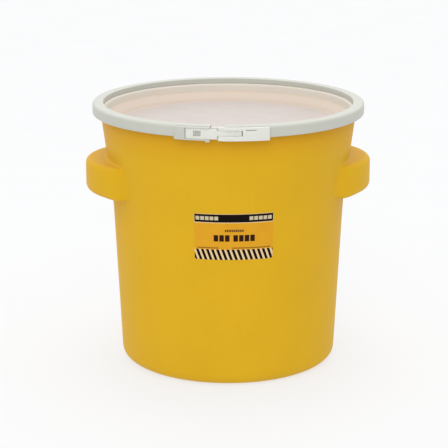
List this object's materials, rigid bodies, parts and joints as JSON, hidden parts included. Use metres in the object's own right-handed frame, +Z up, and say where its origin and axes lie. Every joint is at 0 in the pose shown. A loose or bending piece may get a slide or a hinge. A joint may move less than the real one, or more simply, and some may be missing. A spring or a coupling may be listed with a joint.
{
  "type": "open-head poly drum",
  "caption": "Tapered open-head poly drum with moulded side grips, a recessed lid with a rim seal, and a split plastic closing ring with an over-centre lever.",
  "frame": {"origin": "centre of the flat base, on the floor", "axes": "+Z up along the drum's axis; the side grips lie on X; the closing lever and the label face -Y"},
  "size_m": [0.5644, 0.539, 0.5192],
  "materials": {
    "drum_yellow": "satin polyethylene",
    "label_print": "printed film",
    "lid_natural": "natural polyethylene",
    "seal_rubber": "closed-cell sponge",
    "ring_white": "satin",
    "pin_steel": "plated"
  },
  "bodies": {
    "drum": {"drum_body": "drum_yellow", "label": "label_print"},
    "lid": {"lid": "lid_natural", "lid_gasket": "seal_rubber"},
    "ring": {"ring_band": "ring_white", "lever_pivot_pin": "pin_steel"},
    "lever": {"lever": "ring_white", "strap_pin": "pin_steel"},
    "strap": {"toggle_strap": "ring_white"}
  },
  "joints": [
    {"name": "lid_lift", "type": "slide", "parent": "drum", "child": "lid", "axis": [0, 0, 1], "range_m": [0, 0.3]},
    {"name": "ring_lift", "type": "slide", "parent": "lid", "child": "ring", "axis": [0, 0, 1], "range_m": [0, 0.12]},
    {"name": "lever_swing", "type": "hinge", "parent": "ring", "child": "lever", "pos_m": [-0.03179, -0.26268, 0.50545], "axis": [0, 0, -1], "range_deg": [0, 135]},
    {"name": "strap_swing", "type": "hinge", "parent": "lever", "child": "strap", "pos_m": [0.00468, -0.26816, 0.50545], "axis": [0, 0, -1], "range_deg": [-114.75, 0]}
  ],
  "couplings": [
    {"joint": "strap_swing", "follows": "lever_swing", "ratio": -0.85}
  ]
}
